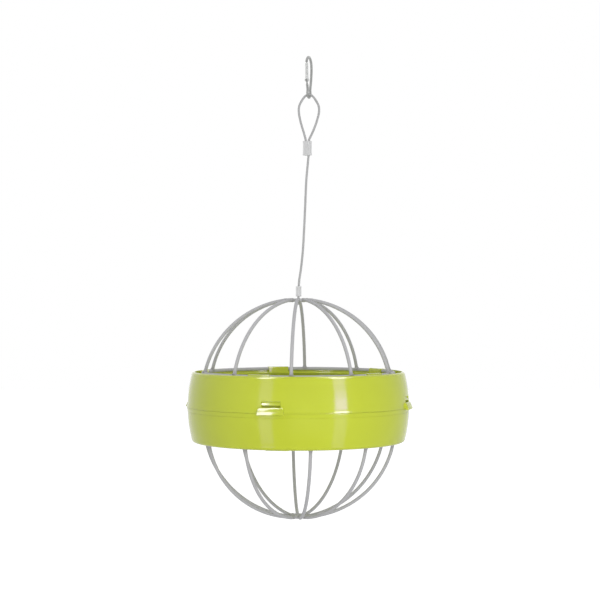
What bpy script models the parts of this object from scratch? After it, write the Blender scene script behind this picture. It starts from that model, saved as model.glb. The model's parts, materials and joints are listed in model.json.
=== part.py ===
"""Hanging feeder: a ball of steel wire with a plastic waist band, on a wire rope and a snap hook.

Metres, +Z up. The origin is the inside of the snap hook's top, where the feeder hangs.
Azimuths are in degrees about the ball's axis: 0 faces -Y, and 90 faces +X.
"""

from math import acos, asin, cos, pi, radians, sin, sqrt, tau

import bmesh
import bpy
from mathutils import Matrix, Vector

# Clearances
GAP = 0.0003
SEAM_GAP = 0.0003

# Ball
BALL_CENTRE = Vector((-0.0081, 0.0, -0.2687))
WIRE_DIAMETER = 0.0026
CAGE_RADIUS = 0.0746
CAGE_STRAIGHT = 0.0130
CAGE_CAP_HEIGHT = 0.0707
POLE_HEIGHT = 0.0830
POLE_FLAT_RADIUS = 0.0115
UPPER_WIRE_AZIMUTHS = tuple(36.0 * step - 4.0 for step in (0, 1, 2, 3, 4, 5, 7, 8, 9))
LOWER_WIRE_AZIMUTHS = (7.0, 42.5, 78.5, 114.5, 150.5, 183.5, 218.5, 258.5, 294.5, 328.3)
WIRE_ARC_SEGMENTS = 9
WIRE_SIDES = 8

# Pole rings, which the wires are welded to
POLE_RING_RADIUS = 0.0063
POLE_RING_SEGMENTS = 24
POLE_BAR_RADIUS = 0.0011

# Waist band. Its heights are measured from the seam, which is just above the ball's middle.
SEAM_HEIGHT = 0.0015
BAND_CENTRE = BALL_CENTRE + Vector((0.0, 0.0, SEAM_HEIGHT))
BAND_RADIUS = 0.0850
BAND_SHOULDER_RADIUS = 0.0820
BAND_WALL = 0.0026
BAND_RIM_ROUND = 0.0024
BAND_SEGMENTS = 48
BAND_HEIGHT = 0.0267
LEDGE_INNER_RADIUS = 0.0712
LEDGE_THICKNESS = 0.0017
HOOP_ABOVE_LEDGE = 0.0024
HOOP_HEIGHT = 0.0258
HOOP_SEGMENTS = 48
CLIP_COUNT = 5
UPPER_CLIP_START = -22.8
LOWER_CLIP_START = -11.8
CLIP_WIDTH = 13.0
CLIP_INNER_OFFSET = 0.0024
CLIP_OUTER_OFFSET = 0.0026
CLIP_COVER = 0.0019
CLIP_GROOVE_RADIUS = WIRE_DIAMETER / 2 + 0.00025

# Snap tabs on the lower half, which reach up behind bridges on the upper half
TAB_COUNT = 4
TAB_START = -13.5
TAB_HINGE_RADIUS = 0.0806
TAB_HINGE_DROP = 0.0120
TAB_HALF_WIDTH = 0.0074
TAB_SIDE_SLOPE = 0.05
BRIDGE_HALF_WIDTH = 0.0100
BRIDGE_SIDE_SLOPE = 0.24
BLOCK_COLUMNS = 8
WINDOW_MARGIN = 0.00045
WINDOW_INNER_RADIUS = 0.0770
WINDOW_OUTER_RADIUS = 0.0900
WINDOW_TOP = 0.0092
PASSAGE_RADIUS = 0.0847

# Sections as (radius, height above the seam) points
TAB_OUTLINE = (
    (0.0799, -0.0125),
    (0.0810, -0.0125),
    (0.0819, 0.0004),
    (0.0822, 0.0058),
    (0.0844, 0.0058),
    (0.0844, 0.0064),
    (0.0820, 0.0087),
    (0.0803, 0.0087),
)
BRIDGE_OUTLINE = (
    (0.0836, 0.0004),
    (0.0855, 0.0004),
    (0.0858, -0.0008),
    (0.0879, -0.0008),
    (0.0867, 0.0036),
    (0.0851, 0.0052),
    (0.0836, 0.0052),
)

# Snap hook, bent in a plane that is turned about Z
HOOK_TURN = 68.0
HOOK_WIRE_DIAMETER = 0.0020
HOOK_SIDES = 10
GATE_DIAMETER = 0.0025
GATE_TOP = -0.0040
GATE_PIVOT = (-0.0040, -0.0170)
GATE_SLOT_WIDTH = 0.0013
GATE_SLOT_TOP = 0.0020
GATE_FOOT = 0.0013
TONGUE_THICKNESS = 0.0008
TONGUE_LENGTH = 0.0022
PIVOT_HOLE_RADIUS = 0.00060
RIVET_RADIUS = 0.00045
RIVET_HEAD_RADIUS = 0.00100
RIVET_HEAD_THICKNESS = 0.00035
RIVET_HEAD_INNER = GATE_DIAMETER / 2 + 0.00012

# The hook's wire, as (across, up) points in its plane: gate side, eye, spine, top and nose
HOOK_ROUTE = (
    (-0.0040, -0.0160),
    (-0.0040, -0.0178),
    (-0.0037, -0.0200),
    (-0.0031, -0.0219),
    (-0.0027, -0.0235),
    (-0.0028, -0.0250),
    (-0.0030, -0.0268),
    (-0.0021, -0.0290),
    (0.0, -0.0300),
    (0.0021, -0.0290),
    (0.0030, -0.0268),
    (0.0027, -0.0250),
    (0.0027, -0.0235),
    (0.0032, -0.0215),
    (0.0041, -0.0178),
    (0.0049, -0.0130),
    (0.0053, -0.0085),
    (0.0051, -0.0045),
    (0.0036, -0.0011),
    (0.0012, 0.0008),
    (-0.0012, 0.0009),
    (-0.0034, -0.0004),
    (-0.0045, -0.0020),
    (-0.0047, -0.0036),
)

# Wire rope
ROPE_DIAMETER = 0.0018
ROPE_MAX_STEP = 0.0045
ROPE_MAX_TURN = 24.0
ROPE_EYE_TOP = Vector((0.0, 0.0, -0.0275))

# The rope's centreline from one end to the other: up from the upper ferrule, through the
# hook's eye, down to the lower ferrule, round the pole ring's bar and up into the ferrule
ROPE_ROUTE = (
    (-0.00225, 0.0, -0.0740),
    (-0.00225, 0.0, -0.0660),
    (-0.00240, 0.0, -0.0629),
    (-0.00385, 0.0, -0.0572),
    (-0.00570, 0.0, -0.0511),
    (-0.00720, 0.0, -0.0449),
    (-0.00780, 0.0, -0.0400),
    (-0.00735, 0.0, -0.0363),
    (-0.00570, 0.0, -0.0328),
    (-0.00310, 0.0, -0.0292),
    (0.0, 0.0, -0.0275),
    (0.00310, 0.0, -0.0292),
    (0.00570, 0.0, -0.0328),
    (0.00740, 0.0, -0.0362),
    (0.00785, 0.0, -0.0399),
    (0.00720, 0.0, -0.0441),
    (0.00510, 0.0, -0.0511),
    (0.00260, 0.0, -0.0572),
    (0.00010, 0.0, -0.0626),
    (-0.00015, 0.0, -0.0665),
    (-0.00018, 0.0, -0.0715),
    (-0.00040, 0.0, -0.0760),
    (-0.00200, 0.0, -0.0940),
    (-0.00285, 0.0, -0.1136),
    (-0.00360, 0.0, -0.1293),
    (-0.00460, 0.0, -0.1473),
    (-0.00600, 0.0, -0.1607),
    (-0.00735, -0.00035, -0.1700),
    (-0.00785, -0.00105, -0.1765),
    (-0.00790, -0.00108, -0.1805),
    (-0.00800, -0.00190, -0.1832),
    (-0.00810, -0.00270, -0.1852),
    (-0.00810, -0.00215, -0.1873),
    (-0.00810, 0.0, -0.1884),
    (-0.00810, 0.00215, -0.1873),
    (-0.00810, 0.00270, -0.1852),
    (-0.00800, 0.00190, -0.1832),
    (-0.00790, 0.00108, -0.1805),
    (-0.00785, 0.00105, -0.1775),
)

# Ferrules crimped on the rope
FERRULE_WIDTH = 0.0071
UPPER_FERRULE_THICKNESS = 0.0044
UPPER_FERRULE_HEIGHT = 0.0111
UPPER_FERRULE_CENTRE = Vector((-0.0012, 0.0, -0.06895))
UPPER_BORE_HALF_WIDTH = 0.00225
LOWER_FERRULE_THICKNESS = 0.0047
LOWER_FERRULE_HEIGHT = 0.0078
LOWER_FERRULE_CENTRE = Vector((-0.0079, 0.0, -0.1789))
LOWER_BORE_HALF_WIDTH = 0.00285
BORE_HALF_THICKNESS = ROPE_DIAMETER / 2 + GAP
FERRULE_END_SEGMENTS = 8

# Joint axes
EYE_AXIS = ROPE_EYE_TOP
LOOP_AXIS = BALL_CENTRE + Vector((0.0, 0.0, POLE_HEIGHT))

# Sharp edges and colours
SHARP_ANGLE = radians(35)
COLOURS = {
    "zinc_steel": ((0.52, 0.53, 0.53), 0.32, 1.0),
    "cage_steel": ((0.55, 0.55, 0.56), 0.38, 1.0),
    "rope_steel": ((0.42, 0.43, 0.43), 0.45, 1.0),
    "ferrule_aluminium": ((0.78, 0.78, 0.79), 0.35, 1.0),
    "lime_plastic": ((0.56, 0.66, 0.05), 0.22, 0.0),
}


def clear_scene():
    for old in list(bpy.data.objects):
        bpy.data.objects.remove(old, do_unlink=True)


def make_materials():
    """One Principled material for each finish."""
    made = {}
    for name, (colour, roughness, metallic) in COLOURS.items():
        material = bpy.data.materials.new(name)
        material.use_nodes = True
        shader = material.node_tree.nodes["Principled BSDF"]
        shader.inputs["Base Color"].default_value = (*colour, 1.0)
        shader.inputs["Roughness"].default_value = roughness
        shader.inputs["Metallic"].default_value = metallic
        made[name] = material
    return made


# ---------------------------------------------------------------- shapes


def circle_profile(centre_radius, height, radius, sides):
    """A round section at a distance from the axis, as (radius, height) points."""
    return [
        (centre_radius + radius * cos(tau * i / sides), height + radius * sin(tau * i / sides))
        for i in range(sides)
    ]


def mesh_from(bm, name):
    """Turn a bmesh into a mesh with outward faces and smooth shading."""
    bmesh.ops.recalc_face_normals(bm, faces=bm.faces)
    mesh = bpy.data.meshes.new(name)
    bm.to_mesh(mesh)
    bm.free()
    mesh.shade_smooth()
    mesh.set_sharp_from_angle(angle=SHARP_ANGLE)
    return mesh


def bridge(bm, first, second):
    """Join two rings of the same number of vertices with quads."""
    count = len(first)
    for i in range(count):
        j = (i + 1) % count
        bm.faces.new((first[i], first[j], second[j], second[i]))


def add_revolved(bm, profile, start=0.0, sweep=360.0, segments=BAND_SEGMENTS):
    """Turn a closed (radius, height) outline about Z: all the way round, or with flat ends."""
    closed = sweep >= 360.0
    turns = segments if closed else segments + 1
    rings = []
    for step in range(turns):
        angle = radians(start + sweep * step / segments)
        ring = [bm.verts.new((r * sin(angle), -r * cos(angle), z)) for r, z in profile]
        rings.append(ring)
    for step in range(segments):
        bridge(bm, rings[step], rings[(step + 1) % turns])
    if not closed:
        bm.faces.new(rings[0])
        bm.faces.new(rings[-1])


def revolved_mesh(name, profile, segments):
    bm = bmesh.new()
    add_revolved(bm, profile, segments=segments)
    return mesh_from(bm, name)


def swept_mesh(name, path, radius, sides):
    """A round bar along a path, with flat ends. Its section is carried along without twist."""
    bm = bmesh.new()
    path = [Vector(p) for p in path]
    tangents = []
    for i in range(len(path)):
        before = path[max(i - 1, 0)]
        after = path[min(i + 1, len(path) - 1)]
        tangents.append((after - before).normalized())
    across = tangents[0].orthogonal().normalized()
    rings = []
    for i, (point, tangent) in enumerate(zip(path, tangents)):
        if i:
            across = tangents[i - 1].rotation_difference(tangent) @ across
        across = (across - tangent * across.dot(tangent)).normalized()
        side = tangent.cross(across)
        ring = [
            bm.verts.new(
                point + radius * (cos(tau * k / sides) * across + sin(tau * k / sides) * side)
            )
            for k in range(sides)
        ]
        rings.append(ring)
    for first, second in zip(rings, rings[1:]):
        bridge(bm, first, second)
    bm.faces.new(rings[0])
    bm.faces.new(rings[-1])
    return mesh_from(bm, name)


def smooth_curve(points, steps=16):
    """A Catmull-Rom curve through the points, finely sampled."""
    points = [Vector(p) for p in points]
    padded = [2 * points[0] - points[1]] + points + [2 * points[-1] - points[-2]]
    curve = []
    for i in range(1, len(padded) - 2):
        a, b, c, d = padded[i - 1 : i + 3]
        for step in range(steps):
            t = step / steps
            curve.append(
                0.5
                * (
                    2 * b
                    + (c - a) * t
                    + (2 * a - 5 * b + 4 * c - d) * t**2
                    + (3 * b - a - 3 * c + d) * t**3
                )
            )
    curve.append(points[-1])
    return curve


def thinned(curve, max_step, max_turn):
    """Keep the points of a fine curve that its bends and its longest step need."""
    kept = [curve[0]]
    heading = (curve[1] - curve[0]).normalized()
    for i in range(1, len(curve) - 1):
        ahead = (curve[i + 1] - curve[i]).normalized()
        far = (curve[i] - kept[-1]).length >= max_step
        turned = heading.angle(ahead) >= radians(max_turn)
        if far or turned:
            kept.append(curve[i])
            heading = ahead
    kept.append(curve[-1])
    return kept


# ---------------------------------------------------------------- objects


def add_axis(name, position, parent=None):
    """An empty that marks where a moving group turns or slides."""
    axis = bpy.data.objects.new(name, None)
    axis.empty_display_size = 0.01
    bpy.context.collection.objects.link(axis)
    if parent:
        axis.parent = parent
        position = position - world_position(parent)
    axis.location = position
    return axis


def world_position(item):
    """An axis's place, which only its own and its parents' locations set."""
    place = item.location.copy()
    while item.parent:
        item = item.parent
        place += item.location
    return place


def add_piece(name, data, material, axis, position=Vector(), turn=0.0):
    """Put a mesh or a curve on an axis, at a world position and turned about Z in degrees."""
    piece = bpy.data.objects.new(name, data)
    bpy.context.collection.objects.link(piece)
    piece.parent = axis
    piece.location = position - world_position(axis)
    piece.rotation_euler.z = radians(turn)
    if not data.materials:
        data.materials.append(material)
    return piece


def add_cutter(name, mesh, piece):
    """A hidden helper shape that lies where its piece does."""
    cutter = bpy.data.objects.new(name, mesh)
    bpy.context.collection.objects.link(cutter)
    cutter.parent = piece.parent
    cutter.location = piece.location
    cutter.rotation_euler = piece.rotation_euler
    cutter.hide_render = True
    cutter.display_type = "WIRE"
    return cutter


def add_boolean(piece, cutter, operation):
    modifier = piece.modifiers.new(cutter.name, "BOOLEAN")
    modifier.operation = operation
    modifier.solver = "EXACT"
    modifier.use_self = True
    modifier.object = cutter


def add_box(bm, low, high):
    """A box between two corners."""
    size = Vector(high) - Vector(low)
    middle = (Vector(high) + Vector(low)) / 2
    bmesh.ops.create_cube(
        bm, size=1.0, matrix=Matrix.Translation(middle) @ Matrix.Diagonal((*size, 1.0))
    )


def add_cylinder(bm, radius, length, sides, matrix):
    """A solid cylinder about the matrix's Z axis."""
    bmesh.ops.create_cone(
        bm,
        cap_ends=True,
        segments=sides,
        radius1=radius,
        radius2=radius,
        depth=length,
        matrix=matrix,
    )


# ---------------------------------------------------------------- snap hook


def hook_frame():
    """Columns: across the hook, through its plane, up."""
    return Matrix.Rotation(radians(HOOK_TURN), 3, "Z")


def hook_point(across, up):
    return hook_frame() @ Vector((across, 0.0, up))


def make_snap_hook(steel, root, gate_axis):
    """The bent hook, the gate that closes it and the rivet that the gate turns on."""
    pivot = Vector((GATE_PIVOT[0], 0.0, GATE_PIVOT[1]))
    through = Matrix.Translation(pivot) @ Matrix.Rotation(pi / 2, 4, "X")
    reach = 3 * HOOK_WIRE_DIAMETER

    route = [Vector((across, 0.0, up)) for across, up in HOOK_ROUTE]
    path = thinned(smooth_curve(route), 0.003, 18.0)
    body_mesh = swept_mesh("hook_body", path, HOOK_WIRE_DIAMETER / 2, HOOK_SIDES)
    body = add_piece("hook_body", body_mesh, steel, root, turn=HOOK_TURN)

    # The wire's end is flattened into a tongue with a hole for the rivet.
    bm = bmesh.new()
    foot = pivot.z - TONGUE_LENGTH
    for side in (-1, 1):
        near = side * TONGUE_THICKNESS / 2
        far = side * reach
        low = (pivot.x - reach, min(near, far), foot)
        high = (pivot.x + HOOK_WIRE_DIAMETER, max(near, far), pivot.z + reach / 2)
        add_box(bm, low, high)
    add_cylinder(bm, PIVOT_HOLE_RADIUS, reach, 12, through)
    add_boolean(body, add_cutter("tongue_cutter", mesh_from(bm, "tongue_cutter"), body), "DIFFERENCE")

    top = pivot + Vector((-0.0007, 0.0, GATE_TOP - pivot.z))
    rod = [pivot - Vector((0.0, 0.0, GATE_FOOT)), pivot, top]
    gate_mesh = swept_mesh("hook_gate", rod, GATE_DIAMETER / 2, 12)
    gate_mesh.transform(Matrix.Translation(-pivot))
    gate = add_piece("hook_gate", gate_mesh, steel, gate_axis, world_position(gate_axis), HOOK_TURN)

    bm = bmesh.new()
    low = (-reach, -GATE_SLOT_WIDTH / 2, -reach)
    add_box(bm, low, (reach, GATE_SLOT_WIDTH / 2, GATE_SLOT_TOP))
    add_cylinder(bm, PIVOT_HOLE_RADIUS, reach, 12, Matrix.Rotation(pi / 2, 4, "X"))
    add_boolean(gate, add_cutter("fork_cutter", mesh_from(bm, "fork_cutter"), gate), "DIFFERENCE")

    half = RIVET_HEAD_INNER + RIVET_HEAD_THICKNESS
    outline = [
        (0.0, -half),
        (RIVET_HEAD_RADIUS, -half),
        (RIVET_HEAD_RADIUS, -RIVET_HEAD_INNER),
        (RIVET_RADIUS, -RIVET_HEAD_INNER),
        (RIVET_RADIUS, RIVET_HEAD_INNER),
        (RIVET_HEAD_RADIUS, RIVET_HEAD_INNER),
        (RIVET_HEAD_RADIUS, half),
        (0.0, half),
    ]
    rivet_mesh = lathe_mesh("gate_rivet", outline, 12)
    rivet_mesh.transform(Matrix.Rotation(pi / 2, 4, "X"))
    add_piece("gate_rivet", rivet_mesh, steel, root, hook_point(*GATE_PIVOT), HOOK_TURN)


def lathe_mesh(name, outline, sides):
    """A solid turned from an open outline that starts and ends on the axis."""
    bm = bmesh.new()
    bottom = bm.verts.new((0.0, 0.0, outline[0][1]))
    top = bm.verts.new((0.0, 0.0, outline[-1][1]))
    rings = [
        [bm.verts.new((r * cos(tau * k / sides), r * sin(tau * k / sides), z)) for k in range(sides)]
        for r, z in outline[1:-1]
    ]
    for first, second in zip(rings, rings[1:]):
        bridge(bm, first, second)
    for k in range(sides):
        bm.faces.new((bottom, rings[0][(k + 1) % sides], rings[0][k]))
        bm.faces.new((top, rings[-1][k], rings[-1][(k + 1) % sides]))
    return mesh_from(bm, name)


# ---------------------------------------------------------------- rope and ferrules


def make_rope(steel, axis):
    """The wire rope with an eye at each end, as one bevelled curve."""
    data = bpy.data.curves.new("rope", "CURVE")
    data.dimensions = "3D"
    data.bevel_depth = ROPE_DIAMETER / 2
    data.bevel_resolution = 2
    data.use_fill_caps = True
    path = thinned(smooth_curve(ROPE_ROUTE), ROPE_MAX_STEP, ROPE_MAX_TURN)
    spline = data.splines.new("POLY")
    spline.points.add(len(path) - 1)
    origin = world_position(axis)
    for point, place in zip(spline.points, path):
        point.co = (*(place - origin), 1.0)
    add_piece("rope", data, steel, axis, origin)


def stadium(half_width, half_thickness):
    """An outline with straight sides and round ends."""
    straight = half_width - half_thickness
    outline = []
    for end in (1, -1):
        for step in range(FERRULE_END_SEGMENTS + 1):
            angle = -pi / 2 + pi * step / FERRULE_END_SEGMENTS
            x = end * (straight + half_thickness * cos(angle))
            outline.append((x, end * half_thickness * sin(angle)))
    return outline


def ferrule_mesh(name, thickness, height, bore_half_width):
    """A flattened sleeve with one slot-shaped bore for both strands of the rope."""
    bm = bmesh.new()
    outer = stadium(FERRULE_WIDTH / 2, thickness / 2)
    inner = stadium(bore_half_width, BORE_HALF_THICKNESS)
    rings = [
        [bm.verts.new((x, y, z)) for x, y in outline]
        for outline, z in (
            (outer, -height / 2),
            (outer, height / 2),
            (inner, height / 2),
            (inner, -height / 2),
        )
    ]
    for i in range(4):
        bridge(bm, rings[i], rings[(i + 1) % 4])
    return mesh_from(bm, name)


def make_ferrules(aluminium, axis):
    upper = ferrule_mesh(
        "upper_ferrule", UPPER_FERRULE_THICKNESS, UPPER_FERRULE_HEIGHT, UPPER_BORE_HALF_WIDTH
    )
    add_piece("upper_ferrule", upper, aluminium, axis, UPPER_FERRULE_CENTRE)
    lower = ferrule_mesh(
        "lower_ferrule", LOWER_FERRULE_THICKNESS, LOWER_FERRULE_HEIGHT, LOWER_BORE_HALF_WIDTH
    )
    add_piece("lower_ferrule", lower, aluminium, axis, LOWER_FERRULE_CENTRE, 90.0)


# ---------------------------------------------------------------- wire cage


def cage_radius_at(height):
    """The wires' distance from the axis at a distance above or below the ball's middle."""
    return CAGE_RADIUS * sqrt(1 - (max(height - CAGE_STRAIGHT, 0.0) / CAGE_CAP_HEIGHT) ** 2)


def hoop_place(side):
    """The hoop's radius, and its distance from the ball's middle; side is 1 above, -1 below."""
    distance = HOOP_HEIGHT + side * SEAM_HEIGHT
    return cage_radius_at(distance), distance


def half_wire_mesh(name, side):
    """One bent wire from the hoop to the pole ring."""
    start = hoop_place(side)[1] + WIRE_DIAMETER / 2 + GAP
    first = asin((start - CAGE_STRAIGHT) / CAGE_CAP_HEIGHT)
    last = acos(POLE_FLAT_RADIUS / CAGE_RADIUS)
    path = []
    for step in range(WIRE_ARC_SEGMENTS + 1):
        angle = first + (last - first) * step / WIRE_ARC_SEGMENTS
        height = CAGE_STRAIGHT + CAGE_CAP_HEIGHT * sin(angle)
        path.append((0.0, -CAGE_RADIUS * cos(angle), side * height))
    inner = POLE_RING_RADIUS + WIRE_DIAMETER / 2 + GAP
    path.append((0.0, -inner, side * POLE_HEIGHT))
    return swept_mesh(name, path, WIRE_DIAMETER / 2, WIRE_SIDES)


def make_cage_half(name, side, azimuths, steel, axis):
    """A hoop, a pole ring and the wires between them."""
    wire_radius = WIRE_DIAMETER / 2
    hoop_radius, hoop_distance = hoop_place(side)
    hoop = circle_profile(hoop_radius, side * hoop_distance, wire_radius, WIRE_SIDES)
    mesh = revolved_mesh(f"{name}_hoop", hoop, HOOP_SEGMENTS)
    add_piece(f"{name}_hoop", mesh, steel, axis, BALL_CENTRE)

    ring = circle_profile(POLE_RING_RADIUS, side * POLE_HEIGHT, wire_radius, WIRE_SIDES)
    mesh = revolved_mesh(f"{name}_pole_ring", ring, POLE_RING_SEGMENTS)
    pole_ring = add_piece(f"{name}_pole_ring", mesh, steel, axis, BALL_CENTRE)
    bm = bmesh.new()
    across = Matrix.Translation((0.0, 0.0, side * POLE_HEIGHT)) @ Matrix.Rotation(pi / 2, 4, "Y")
    add_cylinder(bm, POLE_BAR_RADIUS, 2 * POLE_RING_RADIUS, 10, across)
    bar = add_cutter(f"{name}_pole_bar", mesh_from(bm, f"{name}_pole_bar"), pole_ring)
    add_boolean(pole_ring, bar, "UNION")

    wire = half_wire_mesh(f"{name}_wire", side)
    for number, azimuth in enumerate(azimuths, start=1):
        add_piece(f"{name}_wire_{number}", wire, steel, axis, BALL_CENTRE, azimuth)


# ---------------------------------------------------------------- waist band


def band_radius_at(height):
    """The barrel-shaped outer face's radius at a distance from the seam."""
    shoulder = BAND_HEIGHT - BAND_RIM_ROUND
    return BAND_RADIUS - (BAND_RADIUS - BAND_SHOULDER_RADIUS) * (height / shoulder) ** 2


def band_profile(side):
    """The section of one half of the band, with a rounded rim and the ledge inside it."""
    ledge_top = HOOP_HEIGHT - HOOP_ABOVE_LEDGE
    ledge_bottom = ledge_top - LEDGE_THICKNESS
    shoulder = BAND_HEIGHT - BAND_RIM_ROUND
    outline = []
    for part in (0.0, 0.3, 0.6, 0.85, 1.0):
        height = SEAM_GAP / 2 + (shoulder - SEAM_GAP / 2) * part
        outline.append((band_radius_at(height), height))
    rim_centre = outline[-1][0] - BAND_RIM_ROUND
    for degrees in (30, 60, 90):
        angle = radians(degrees)
        across = BAND_RIM_ROUND * cos(angle)
        outline.append((rim_centre + across, shoulder + BAND_RIM_ROUND * sin(angle)))
    outline.append((BAND_SHOULDER_RADIUS - BAND_WALL, BAND_HEIGHT))
    for height in (ledge_top, ledge_bottom):
        wall = band_radius_at(height) - BAND_WALL
        edge = (LEDGE_INNER_RADIUS, height)
        pair = [(wall, height), edge] if height == ledge_top else [edge, (wall, height)]
        outline.extend(pair)
    for part in (0.55, 0.0):
        height = SEAM_GAP / 2 + (ledge_bottom - SEAM_GAP / 2) * part
        outline.append((band_radius_at(height) - BAND_WALL, height))
    return [(r, side * z) for r, z in outline]


def make_band_half(name, side, clip_start, plastic, axis):
    """Half of the band, with the clips that wrap the hoop."""
    mesh = revolved_mesh(name, band_profile(side), BAND_SEGMENTS)
    band = add_piece(name, mesh, plastic, axis, BAND_CENTRE)

    hoop_radius = hoop_place(side)[0]
    low = side * (HOOP_HEIGHT - HOOP_ABOVE_LEDGE - LEDGE_THICKNESS / 2)
    high = side * (HOOP_HEIGHT + CLIP_COVER)
    inner = hoop_radius - CLIP_INNER_OFFSET
    outer = hoop_radius + CLIP_OUTER_OFFSET
    section = [(inner, low), (outer, low), (outer, high), (inner, high)]
    bm = bmesh.new()
    for index in range(CLIP_COUNT):
        start = clip_start + 360.0 * index / CLIP_COUNT - CLIP_WIDTH / 2
        add_revolved(bm, section, start, CLIP_WIDTH, 3)
    clips = add_cutter(f"{name}_clips", mesh_from(bm, f"{name}_clips"), band)
    add_boolean(band, clips, "UNION")

    groove = circle_profile(hoop_radius, side * HOOP_HEIGHT, CLIP_GROOVE_RADIUS, WIRE_SIDES)
    mesh = revolved_mesh(f"{name}_groove", groove, HOOP_SEGMENTS)
    add_boolean(band, add_cutter(f"{name}_groove", mesh, band), "DIFFERENCE")
    return band


def tab_half_width(height):
    return TAB_HALF_WIDTH - TAB_SIDE_SLOPE * height


def window_half_width(height):
    return tab_half_width(height) + WINDOW_MARGIN


def bridge_half_width(height):
    return BRIDGE_HALF_WIDTH - BRIDGE_SIDE_SLOPE * height


def add_curved_block(bm, outline, half_width, azimuth=0.0, offset=Vector()):
    """A block that follows the band's curve: a section swept across, between slanting sides."""
    turn = Matrix.Rotation(radians(azimuth), 3, "Z")
    rings = []
    for column in range(BLOCK_COLUMNS + 1):
        part = 2 * column / BLOCK_COLUMNS - 1
        ring = []
        for radius, height in outline:
            across = part * half_width(height)
            depth = sqrt(radius**2 - across**2)
            ring.append(bm.verts.new(turn @ Vector((across, -depth, height)) + offset))
        rings.append(ring)
    for first, second in zip(rings, rings[1:]):
        bridge(bm, first, second)
    bm.faces.new(rings[0])
    bm.faces.new(rings[-1])


def window_section(inner, outer, low, high):
    return ((inner, low), (outer, low), (outer, high), (inner, high))


def add_snap_bridges(band):
    """Raised bridges on the upper half, with a window through the wall behind each one."""
    bridges = bmesh.new()
    windows = bmesh.new()
    low = -3 * GAP
    bridge_high = BRIDGE_OUTLINE[-1][1]
    overlap = PASSAGE_RADIUS - GAP
    sections = (
        window_section(WINDOW_INNER_RADIUS, PASSAGE_RADIUS, low, WINDOW_TOP),
        window_section(overlap, WINDOW_OUTER_RADIUS, bridge_high, WINDOW_TOP),
    )
    for index in range(TAB_COUNT):
        azimuth = TAB_START + 360.0 * index / TAB_COUNT
        add_curved_block(bridges, BRIDGE_OUTLINE, bridge_half_width, azimuth)
        for section in sections:
            add_curved_block(windows, section, window_half_width, azimuth)
    shapes = (("snap_bridges", bridges, "UNION"), ("snap_windows", windows, "DIFFERENCE"))
    for name, bm, operation in shapes:
        add_boolean(band, add_cutter(name, mesh_from(bm, name), band), operation)


def make_snap_tabs(plastic, lower_axis):
    """Springy tongues with hooked heads, each on an axis along its root."""
    bm = bmesh.new()
    root = Vector((0.0, TAB_HINGE_RADIUS, TAB_HINGE_DROP))
    add_curved_block(bm, TAB_OUTLINE, tab_half_width, offset=root)
    mesh = mesh_from(bm, "snap_tab")
    for index in range(TAB_COUNT):
        azimuth = TAB_START + 360.0 * index / TAB_COUNT
        angle = radians(azimuth)
        hinge = BAND_CENTRE + Vector(
            (TAB_HINGE_RADIUS * sin(angle), -TAB_HINGE_RADIUS * cos(angle), -TAB_HINGE_DROP)
        )
        axis = add_axis(f"snap_tab_{index + 1}_axis", hinge, lower_axis)
        add_piece(f"snap_tab_{index + 1}", mesh, plastic, axis, hinge, azimuth)


def main():
    clear_scene()
    materials = make_materials()
    root = add_axis("hang_point", Vector())
    gate_axis = add_axis("gate_axis", hook_point(*GATE_PIVOT), root)
    hanger_axis = add_axis("hanger_axis", EYE_AXIS, root)
    upper_axis = add_axis("upper_half_axis", LOOP_AXIS, hanger_axis)
    lower_axis = add_axis("lower_half_axis", BALL_CENTRE, upper_axis)

    make_snap_hook(materials["zinc_steel"], root, gate_axis)
    make_rope(materials["rope_steel"], hanger_axis)
    make_ferrules(materials["ferrule_aluminium"], hanger_axis)

    steel = materials["cage_steel"]
    plastic = materials["lime_plastic"]
    make_cage_half("upper", 1, UPPER_WIRE_AZIMUTHS, steel, upper_axis)
    make_cage_half("lower", -1, LOWER_WIRE_AZIMUTHS, steel, lower_axis)
    upper_band = make_band_half("upper_band", 1, UPPER_CLIP_START, plastic, upper_axis)
    add_snap_bridges(upper_band)
    make_band_half("lower_band", -1, LOWER_CLIP_START, plastic, lower_axis)
    make_snap_tabs(plastic, lower_axis)


main()
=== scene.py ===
"""Hanging feeder: the finished look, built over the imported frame.

Metres, +Z up. Azimuths are in degrees about the ball's axis: 0 faces -Y, and 90 faces +X.
"""

import json
from math import acos, asin, cos, exp, pi, radians, sin, sqrt, tau

import bmesh
import bpy
from mathutils import Matrix, Vector

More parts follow.
